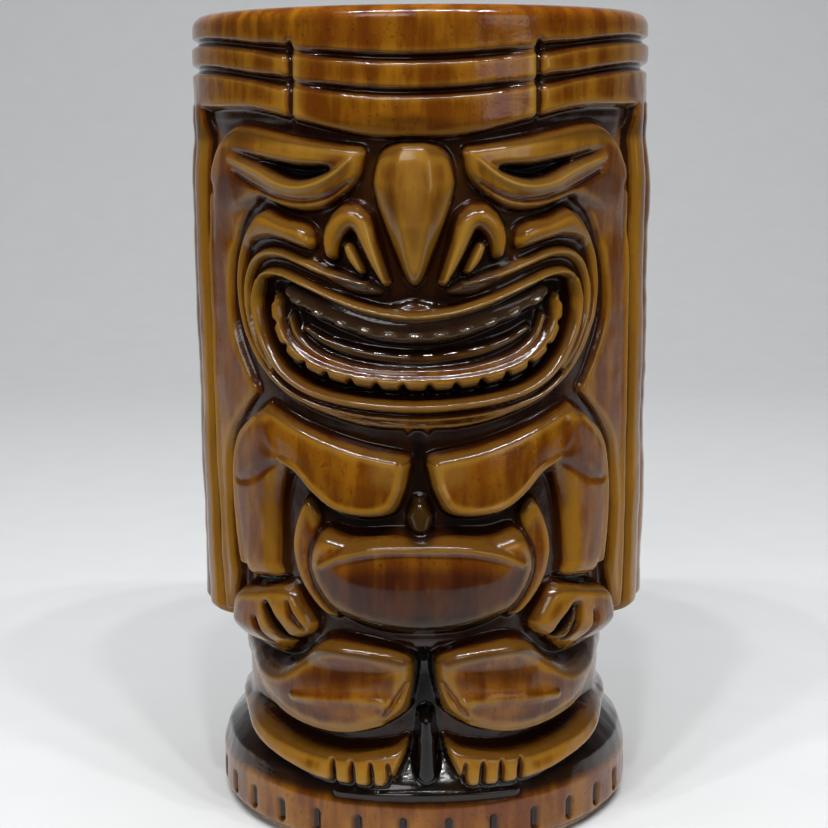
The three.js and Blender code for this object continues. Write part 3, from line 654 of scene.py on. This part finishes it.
def lean(z):
    """The figure's slight twist about the cup's axis."""
    return np.radians(np.interp(z, [20, 95], [0.3, -1.9]))


def skin_rows(s):
    """Points of the skin, and of a surface just behind it that closes the pieces."""
    radius = wall_radius(s.Z) + FIT + skin
    height = s.Z.copy()
    back = wall_radius(s.Z) + 0.05
    back_z = np.minimum(s.Z, SHOULDER)
    top = radius[-1]
    lip = (top - MOUTH_RADIUS) / 2
    rows = [(radius, height, back, back_z)]
    for i in range(1, LIP_STEPS + 1):
        angle = math.pi * i / LIP_STEPS
        share = i / (LIP_STEPS + 1)
        rows.append((MOUTH_RADIUS + lip + lip * math.cos(angle),
                     s.z[-1] + LIP_CROWN * math.sin(angle) + 0 * top,
                     back[-1] + (MOUTH_RADIUS - back[-1]) * share, SHOULDER + 0 * top))
    rows.append((MOUTH_RADIUS + 0 * top, SHOULDER + 0 * top, MOUTH_RADIUS + 0 * top, SHOULDER + 0 * top))
    stacked = [np.vstack([np.atleast_2d(r[i]) for r in rows]) for i in range(4)]
    turn = s.u[None] / ROLLED + lean(stacked[1])
    front = np.stack([stacked[0] * np.sin(turn), -stacked[0] * np.cos(turn), stacked[1] * STRETCH], -1) * MM
    behind = np.stack([stacked[2] * np.sin(turn), -stacked[2] * np.cos(turn), stacked[3] * STRETCH], -1) * MM
    return front, behind


front, behind = skin_rows(sheet)
ROWS, COLS = front.shape[:2]
round_u = np.roll(front, -1, 1) - np.roll(front, 1, 1)
normal = np.cross(round_u, np.gradient(front, axis=0))
normal /= np.linalg.norm(normal, axis=-1, keepdims=True) + 1e-12


def settled_owner(s):
    """The owner of each small square of the skin, with stray specks given to their neighbours."""
    owner = np.vstack([s.owner, np.full((ROWS - len(s.owner), COLS), s.number("rim"))])
    best = np.full(owner.shape, -1.0)
    kept = owner.copy()
    for i in np.unique(owner):
        mask = (owner == i).astype(float)
        for axis in (0, 1):
            mask = sum(np.roll(mask, k, axis) for k in (-2, -1, 0, 1, 2))
        kept = np.where(mask > best, i, kept)
        best = np.maximum(mask, best)
    kept[len(s.owner):] = s.number("rim")
    return kept[:-1]


def patch(mask):
    """The squares in mask as a closed slab, as vertex numbers: those behind follow those in front."""
    k, j = np.nonzero(mask)
    n = ROWS * COLS
    right = (j + 1) % COLS
    a, b, c, d = k * COLS + j, k * COLS + right, (k + 1) * COLS + right, (k + 1) * COLS + j
    faces = [np.stack([a, b, c, d], 1), np.stack([d, c, b, a], 1) + n]
    padded = np.vstack([np.zeros((1, COLS), bool), mask, np.zeros((1, COLS), bool)])
    beside = (~padded[k, j], ~mask[k, right], ~padded[k + 2, j], ~mask[k, (j - 1) % COLS])
    for bare, p, q in zip(beside, (a, b, c, d), (b, c, d, a)):
        faces.append(np.stack([q, p, p + n, q + n], 1)[bare])
    kinds = np.concatenate([np.full(len(f), min(i, 2)) for i, f in enumerate(faces)])
    return np.vstack(faces), kinds


# ---- shading
def colour(r, g, b):
    """A colour mixed on a screen, as the light it stands for."""
    light = [((v / 255 + 0.055) / 1.055) ** 2.4 if v > 10 else v / 255 / 12.92 for v in (r, g, b)]
    return (*light, 1.0)


class Wire:
    """One value running through a shader, so that sums on it are written as plain Python."""

    def __init__(self, shader, socket):
        self.shader, self.socket = shader, socket

    def maths(self, operation, *values):
        return self.shader.node("Math", {"operation": operation}, dict(enumerate(values)))

    def __add__(self, other):
        return self.maths("ADD", self, other)

    def __radd__(self, other):
        return self.maths("ADD", other, self)

    def __sub__(self, other):
        return self.maths("SUBTRACT", self, other)

    def __rsub__(self, other):
        return self.maths("SUBTRACT", other, self)

    def __mul__(self, other):
        return self.maths("MULTIPLY", self, other)

    def __rmul__(self, other):
        return self.maths("MULTIPLY", other, self)

    def __truediv__(self, other):
        return self.maths("DIVIDE", self, other)

    def __neg__(self):
        return self.maths("MULTIPLY", self, -1.0)

    def between(self, low, high):
        """How far the value is from low to high, eased and held at 0 and 1."""
        return self.shader.node("MapRange", {"interpolation_type": "SMOOTHSTEP"},
                                {"Value": self, "From Min": low, "From Max": high})


class Shader:
    """A node material that is built up with calls."""

    def __init__(self, name):
        self.material = bpy.data.materials.new(name)
        self.material.use_nodes = True
        self.tree = self.material.node_tree
        self.surface = self.tree.nodes["Principled BSDF"]

    def feed(self, socket, value):
        if isinstance(value, Wire):
            self.tree.links.new(value.socket, socket)
        else:
            socket.default_value = value

    def node(self, kind, settings=None, values=None, out=0):
        node = self.tree.nodes.new("ShaderNode" + kind)
        for key, value in (settings or {}).items():
            setattr(node, key, value)
        for key, value in (values or {}).items():
            self.feed(node.inputs[key], value)
        return Wire(self, node.outputs[out])

    def painted(self, key):
        return self.node("Attribute", {"attribute_name": key}, out="Fac")

    def mix(self, share, under, over):
        return self.node("Mix", {"data_type": "RGBA"}, {0: share, 6: under, 7: over}, out=2)

    def place(self, scale):
        """Places on the object, stretched by scale."""
        spot = self.node("TexCoord", out="Object")
        return self.node("Mapping", None, {"Vector": spot, "Scale": scale})

    def noise(self, scale, stretch=(1, 1, 1), detail=3.0, roughness=0.5):
        return self.node("TexNoise", None, {"Vector": self.place(stretch), "Scale": scale, "Detail": detail,
                                            "Roughness": roughness})

    def set(self, **values):
        for key, value in values.items():
            self.feed(self.surface.inputs[key.replace("_", " ")], value)
        return self.material


def glaze(name, gloss=0.13):
    """Running amber and brown glaze: thin and light over edges, thick and nearly soot-dark in the cuts, where
    the light is also painted highlight and the dark is also painted shade; the sheet's paint adds more
    painted shade, highlight and sheen.
    """
    s = Shader(name)
    streak = s.noise(260, (1, 1, 0.22), 4.0, 0.55).between(0.36, 0.66)
    cloud = s.noise(70, (1, 1, 0.6), 2.0).between(0.35, 0.65)
    speck = s.noise(1500, (1, 1, 0.8), 2.0).between(0.60, 0.70)
    pool_and_shade, deep_pool_and_shade = s.painted("pool_and_shade"), s.painted("deep_pool_and_shade")
    # Crests get painted highlight here, where the glaze also runs thin.
    thin = (-pool_and_shade + (streak - 0.5) * 0.1).between(0.06, 0.42)
    # Hollows get painted shade here, where the glaze also runs thick.
    thick = (pool_and_shade + deep_pool_and_shade * 0.36 + (streak - 0.5) * 0.12).between(0.06, 0.42)
    body = s.mix(streak, colour(104, 54, 4), colour(152, 97, 14))
    body = s.mix(cloud * 0.55, body, colour(104, 46, 4))
    body = s.mix(speck * 0.45, body, colour(66, 32, 8))
    brown = s.mix(streak, colour(62, 26, 8), colour(88, 44, 14))
    # brown: painted shade on planes that face down or aside, and the brown of the glaze inside the cup
    body = s.mix(s.painted("brown"), body, brown)
    # painted highlight, light tan, over the crests
    body = s.mix(thin * 0.6, body, colour(166, 120, 36))
    # painted highlight, light tan, from the sheet's paint
    body = s.mix(s.painted("bright"), body, colour(182, 142, 62))
    # painted shade, dark brown, on slopes that face down
    body = s.mix(s.painted("down").between(0.05, 0.8) * 0.7, body, colour(50, 22, 8))
    # painted shade, nearly soot-dark, in the hollows
    body = s.mix(thick * 0.9, body, colour(40, 15, 5))
    # painted shade, near-black, from the sheet's paint
    body = s.mix(s.painted("painted_shade"), body, colour(10, 5, 4))
    # painted sheen, grey, from the sheet's paint
    body = s.mix(s.painted("painted_sheen") * 0.8, body, colour(58, 42, 34))
    ripple = s.noise(420, (1, 1, 0.5), 2.0) * 0.7 + s.noise(1600, (1, 1, 1), 2.0) * 0.3
    bump = s.node("Bump", None, {"Strength": 0.22, "Distance": 0.0004, "Height": ripple})
    rough = gloss + streak * 0.05 + speck * 0.06
    return s.set(Base_Color=body, Roughness=rough, Normal=bump, Coat_Weight=0.15, Coat_Roughness=0.04,
                 IOR=1.42)


def bare_clay(name):
    """Unglazed fired clay, matt and grainy."""
    s = Shader(name)
    grain = s.noise(900, (1, 1, 1), 5.0, 0.6)
    body = s.mix(grain.between(0.35, 0.65), colour(196, 166, 132), colour(222, 198, 168))
    bump = s.node("Bump", None, {"Strength": 0.5, "Distance": 0.0003, "Height": grain})
    return s.set(Base_Color=body, Roughness=0.85, Normal=bump)


def cloth(name):
    """Pale cloth, in shade in front of the mug."""
    s = Shader(name)
    weave = s.noise(60, (1, 1, 1), 3.0)
    body = s.mix(weave, colour(220, 222, 223), colour(226, 228, 229))
    ahead = -s.node("SeparateXYZ", None, {"Vector": s.place((1, 1, 1))}, out=1)
    body = s.mix(ahead.between(0.05, 0.17), body, colour(40, 38, 36))
    return s.set(Base_Color=body, Roughness=0.9)


FINISH = {"amber_glaze": glaze("amber_glaze", 0.12), "brown_glaze": glaze("brown_glaze", 0.15),
          "dark_glaze": glaze("dark_glaze", 0.08), "bare_clay": bare_clay("bare_clay")}
SLOT_OF = {part["node"]: part["material_slot"] for part in frame["record"]["subparts"]}


# ---- pieces
def mesh_piece(name, points, faces, slot, places=None, normals=None, paint=None):
    """A closed piece that stands for the CAD node of the same name."""
    mesh = bpy.data.meshes.new(name)
    mesh.vertices.add(len(points))
    mesh.vertices.foreach_set("co", np.ascontiguousarray(points, np.float32).ravel())
    mesh.loops.add(4 * len(faces))
    mesh.loops.foreach_set("vertex_index", faces.astype(np.int32).ravel())
    mesh.polygons.add(len(faces))
    mesh.polygons.foreach_set("loop_start", np.arange(0, 4 * len(faces), 4, dtype=np.int32))
    mesh.update(calc_edges=True)
    mesh.polygons.foreach_set("use_smooth", np.ones(len(faces), bool))
    for key, values in (paint or {}).items():
        layer = mesh.attributes.new(key, "FLOAT", "POINT")
        layer.data.foreach_set("value", values.astype(np.float32))
    if places is not None:
        layer = mesh.uv_layers.new(name="OFBake")
        layer.data.foreach_set("uv", places.astype(np.float32).ravel())
    if normals is not None:
        mesh.normals_split_custom_set_from_vertices(normals.tolist())
    mesh.materials.append(FINISH[slot])
    piece = bpy.data.objects.new(name + "_glazed", mesh)
    bpy.context.scene.collection.objects.link(piece)
    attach(piece, "root")
    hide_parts(name)
    return piece


def lathe(section, steps):
    """Points and four-sided faces of a closed section of (radius, height), turned about the cup's axis."""
    section = np.array(section, float)
    turn = np.arange(steps) * 2 * math.pi / steps
    ring = np.stack([np.outer(section[:, 0], np.sin(turn)), -np.outer(section[:, 0], np.cos(turn)),
                     np.repeat(section[:, 1:2], steps, 1)], -1).reshape(-1, 3) * MM
    n = len(section)
    k, j = np.meshgrid(np.arange(n), np.arange(steps), indexing="ij")
    a, b = k * steps + j, k * steps + (j + 1) % steps
    c, d = (k + 1) % n * steps + (j + 1) % steps, (k + 1) % n * steps + j
    return ring, np.stack([a, b, c, d], -1).reshape(-1, 4)


def vessel():
    """The cup behind the carving: outside wall, lip seat, inside and floor."""
    inner, mouth, base = WALL - 4.9, MOUTH_RADIUS, SHEET_FOOT
    waist = inner - WAIST_INSET
    outside = [(wall_radius(z) + 0.2, z * STRETCH) for z in np.linspace(base, SHOULDER, 60)]
    inside = flowing([(mouth, SHOULDER * STRETCH), (mouth - 0.3, BROW + 6), (mouth - 1.6, BROW - 4),
                      (inner, BROW - 16), (inner, HEM + 30), (inner, HEM + 4), (waist, HEM - 6),
                      (waist, base + 14), (waist - 1.4, base + 8.4), (waist - 6, base + 6.1),
                      (waist - 12, base + 5.8), (AXIS_GAP, base + 5.8)], 1.5)
    return lathe(outside + [tuple(p) for p in inside] + [(AXIS_GAP, base)], 180)


def sheet_places(faces, kinds, points_uv):
    """Where each corner lies on the bake's map: the outside fills it, with thin bands for the rest."""
    where = points_uv[faces]
    low, high = where[kinds == 0].reshape(-1, 2).min(0), where[kinds == 0].reshape(-1, 2).max(0)
    flat = (where - low) / np.maximum(high - low, 1e-9)
    flat[..., 1] = 0.14 + 0.86 * flat[..., 1]
    behind_it = kinds == 1
    flat[behind_it, :, 1] = (flat[behind_it, :, 1] - 0.14) / 0.86 * 0.06
    walls = np.nonzero(kinds == 2)[0]
    share = np.arange(len(walls)) / max(len(walls), 1)
    step = 1 / max(len(walls), 1)
    flat[walls] = np.stack([np.stack([share, 0 * share + 0.08], -1),
                            np.stack([share + step, 0 * share + 0.08], -1),
                            np.stack([share + step, 0 * share + 0.12], -1),
                            np.stack([share, 0 * share + 0.12], -1)], 1)
    return flat


def cut_into_pieces(s):
    """One closed piece for each owner on the sheet, all sharing the skin's own shading."""
    owner = settled_owner(s)
    n = ROWS * COLS
    points = np.concatenate([front.reshape(-1, 3), behind.reshape(-1, 3)])
    normals = np.concatenate([normal.reshape(-1, 3), np.zeros((n, 3))])
    tail = ROWS - len(s.z)
    paint = {key: np.tile(np.vstack([field, np.repeat(field[-1:], tail, 0)]).ravel(), 2)
             for key, field in s.paint.items()}
    length = np.concatenate([[0], np.cumsum(np.linalg.norm(np.diff(front[:, 0], axis=0), axis=1))]) / MM
    grid_u, grid_v = np.meshgrid(np.arange(COLS) * 1.0, length)
    sheet_uv = np.tile(np.stack([s.u[None] + 0 * grid_u, grid_v], -1).reshape(-1, 2), (2, 1))
    for i, name in enumerate(s.names):
        faces, kinds = patch(owner == i)
        if not len(faces):
            print("nothing is left of", name)
            continue
        used, small = np.unique(faces, return_inverse=True)
        small = small.reshape(faces.shape)
        places = sheet_places(small, kinds, sheet_uv[used])
        wraps = np.ptp(sheet_uv[faces][..., 0], axis=1) > AROUND / 2
        places[wraps, :, 0] = np.where(places[wraps, :, 0] < 0.5, 1.0, places[wraps, :, 0])
        some_points, some_normals = points[used], normals[used]
        some_paint = {key: values[used] for key, values in paint.items()}
        if name == "cup":
            ring, ring_faces = vessel()
            small = np.vstack([small, ring_faces + len(some_points)])
            some_points = np.concatenate([some_points, ring])
            some_normals = np.concatenate([some_normals, np.zeros_like(ring)])
            for key, values in some_paint.items():
                level = BROWN_INSIDE if key == "brown" else 0.0
                some_paint[key] = np.concatenate([values, np.full(len(ring), level)])
            places = None
        mesh_piece(name, some_points, small, SLOT_OF[name], places, some_normals, some_paint)


def base():
    """The flat disc of bare clay that the mug stands on."""
    edge = PLINTH - 2
    section = [(AXIS_GAP, 0), (edge - 0.3, 0), (edge - 0.08, 0.08), (edge, 0.3), (edge, 1.15),
               (AXIS_GAP, 1.15)]
    points, faces = lathe(section[::-1], 160)
    mesh_piece("base", points, faces, "bare_clay")


cut_into_pieces(sheet)
base()


# ---- the table, the light and the camera
def backdrop():
    """A pale cloth that lies flat and curves up far behind."""
    profile = [(-1.6, 0.0), (0.5, 0.0)] + [(0.5 + 0.5 * math.sin(a), 0.5 - 0.5 * math.cos(a))
                                           for a in np.linspace(0.1, math.pi / 2, 14)] + [(1.0, 2.4)]
    points = [(x, y, z) for x in (-2.2, 2.2) for y, z in profile]
    n = len(profile)
    mesh = bpy.data.meshes.new("cloth")
    mesh.from_pydata(points, [], [(i, n + i, n + i + 1, i + 1) for i in range(n - 1)])
    mesh.polygons.foreach_set("use_smooth", [True] * (n - 1))
    mesh.materials.append(cloth("pale_cloth"))
    drop = bpy.data.objects.new("backdrop", mesh)
    bpy.context.scene.collection.objects.link(drop)


def soft_light(name, place, aim, size, power, mirrored=True):
    """A soft rectangle of light; one that isn't mirrored gives no highlight on the glaze."""
    light = bpy.data.lights.new(name, "AREA")
    light.shape, light.size, light.size_y = "RECTANGLE", size[0], size[1]
    light.energy = power
    lamp = bpy.data.objects.new(name, light)
    lamp.location = place
    lamp.visible_glossy = mirrored
    lamp.rotation_euler = (Vector(aim) - Vector(place)).to_track_quat("-Z", "Y").to_euler()
    bpy.context.scene.collection.objects.link(lamp)


def studio():
    """Soft overhead light, two softer ones in front, and a row of small lamps that dot the glaze."""
    world = bpy.data.worlds.new("room")
    world.use_nodes = True
    world.node_tree.nodes["Background"].inputs["Color"].default_value = (0.93, 0.95, 1.0, 1)
    world.node_tree.nodes["Background"].inputs["Strength"].default_value = 0.05
    bpy.context.scene.world = world
    middle = (0, 0, 0.08)
    soft_light("overhead", (0, 0.05, 1.2), middle, (1.4, 1.0), 7.5, mirrored=False)
    soft_light("key", (-0.35, -1.0, 0.75), middle, (0.5, 0.35), 2.6)
    soft_light("fill", (0.8, -0.9, 0.4), middle, (0.5, 0.5), 1.2)
    for i in range(7):
        soft_light("lamp_%d" % i, (-0.24 + 0.08 * i, -0.28, 0.62), (0, 0, 0.1), (0.022, 0.012), 0.55)


def camera():
    """Looks down on the figure a little from in front."""
    pitch, roll = math.radians(10.2), math.radians(0.4)
    right = Vector((1, 0, 0))
    ahead = Vector((0, math.cos(pitch), -math.sin(pitch)))
    above = Vector((0, math.sin(pitch), math.cos(pitch)))
    across = right * math.cos(roll) - above * math.sin(roll)
    upright = right * math.sin(roll) + above * math.cos(roll)
    data = bpy.data.cameras.new("camera")
    data.lens, data.sensor_width, data.shift_y = 73.78, 36, 0.0048
    holder = bpy.data.objects.new("camera", data)
    holder.matrix_world = Matrix.Translation((-0.0017, -0.338, 0.1366)) @ Matrix(
        (across, upright, -ahead)).transposed().to_4x4()
    bpy.context.scene.collection.objects.link(holder)
    bpy.context.scene.camera = holder


backdrop()
studio()
camera()
bpy.context.scene.view_settings.view_transform = "Standard"
